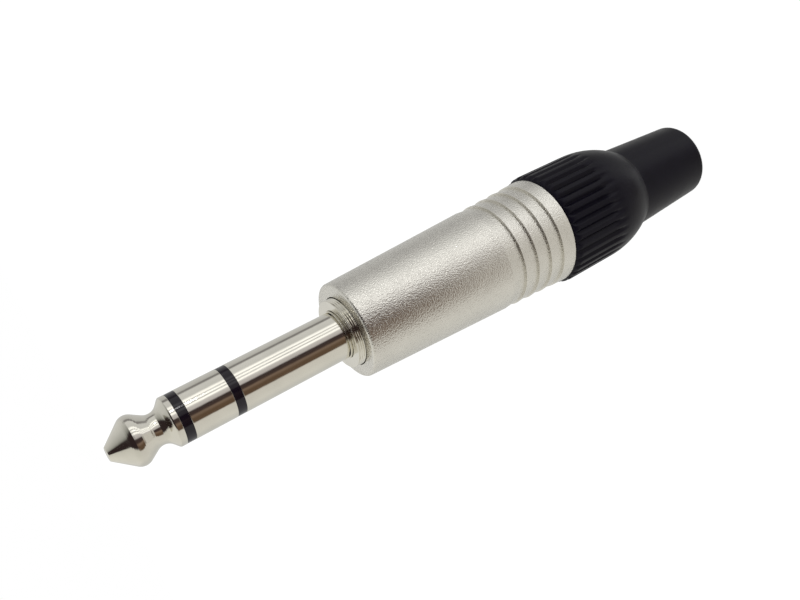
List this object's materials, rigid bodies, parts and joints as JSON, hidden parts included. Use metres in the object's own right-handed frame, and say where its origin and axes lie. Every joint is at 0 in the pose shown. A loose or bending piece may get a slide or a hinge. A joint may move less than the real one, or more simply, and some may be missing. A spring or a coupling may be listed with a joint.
{
  "type": "stereo jack plug",
  "caption": "Straight stereo jack plug for a cable end: polished tip, ring and sleeve, tapered satin shell with ring steps, and a fluted screw-on bushing with boot.",
  "frame": {"origin": "Centre of the boot's flat end, which the plug stands on", "axes": "+Z along the plug's axis from the boot's end towards the tip; +X through one of the chuck's two keys; +Y completes the right-handed set"},
  "size_m": [0.0164, 0.0164, 0.0947],
  "materials": {
    "polished_nickel": "polished nickel plating on turned brass",
    "satin_nickel": "pebbled satin nickel plating on a zinc casting",
    "tinned_sheet": "tinned brass sheet and wire",
    "black_insulator": "glossy black plastic",
    "natural_insulator": "natural white plastic",
    "grey_plastic": "dark grey moulded plastic",
    "black_plastic": "matte black moulded plastic"
  },
  "bodies": {
    "plug_body": {"tip_contact": "polished_nickel", "front_washer": "black_insulator", "front_tube": "natural_insulator", "ring_contact": "polished_nickel", "rear_washer": "black_insulator", "rear_tube": "natural_insulator", "sleeve_shank": "polished_nickel", "sleeve_lug": "tinned_sheet", "terminal_block": "natural_insulator", "ring_lug": "tinned_sheet", "inner_washer": "natural_insulator", "tip_lug": "tinned_sheet", "end_washer": "tinned_sheet", "liner": "natural_insulator", "shell": "satin_nickel"},
    "chuck": {"chuck": "grey_plastic"},
    "bushing": {"bushing": "black_plastic"}
  },
  "joints": [
    {"name": "chuck_slide", "type": "slide", "parent": "plug_body", "child": "chuck", "axis": [0, 0, -1], "range_m": [0, 0.006]},
    {"name": "bushing_turn", "type": "hinge", "parent": "chuck", "child": "bushing", "pos_m": [0, 0, 0], "axis": [0, 0, -1], "range_deg": [0, 2160]}
  ],
  "couplings": [
    {"joint": "chuck_slide", "follows": "bushing_turn", "m_per_rad": 0.00015915}
  ]
}
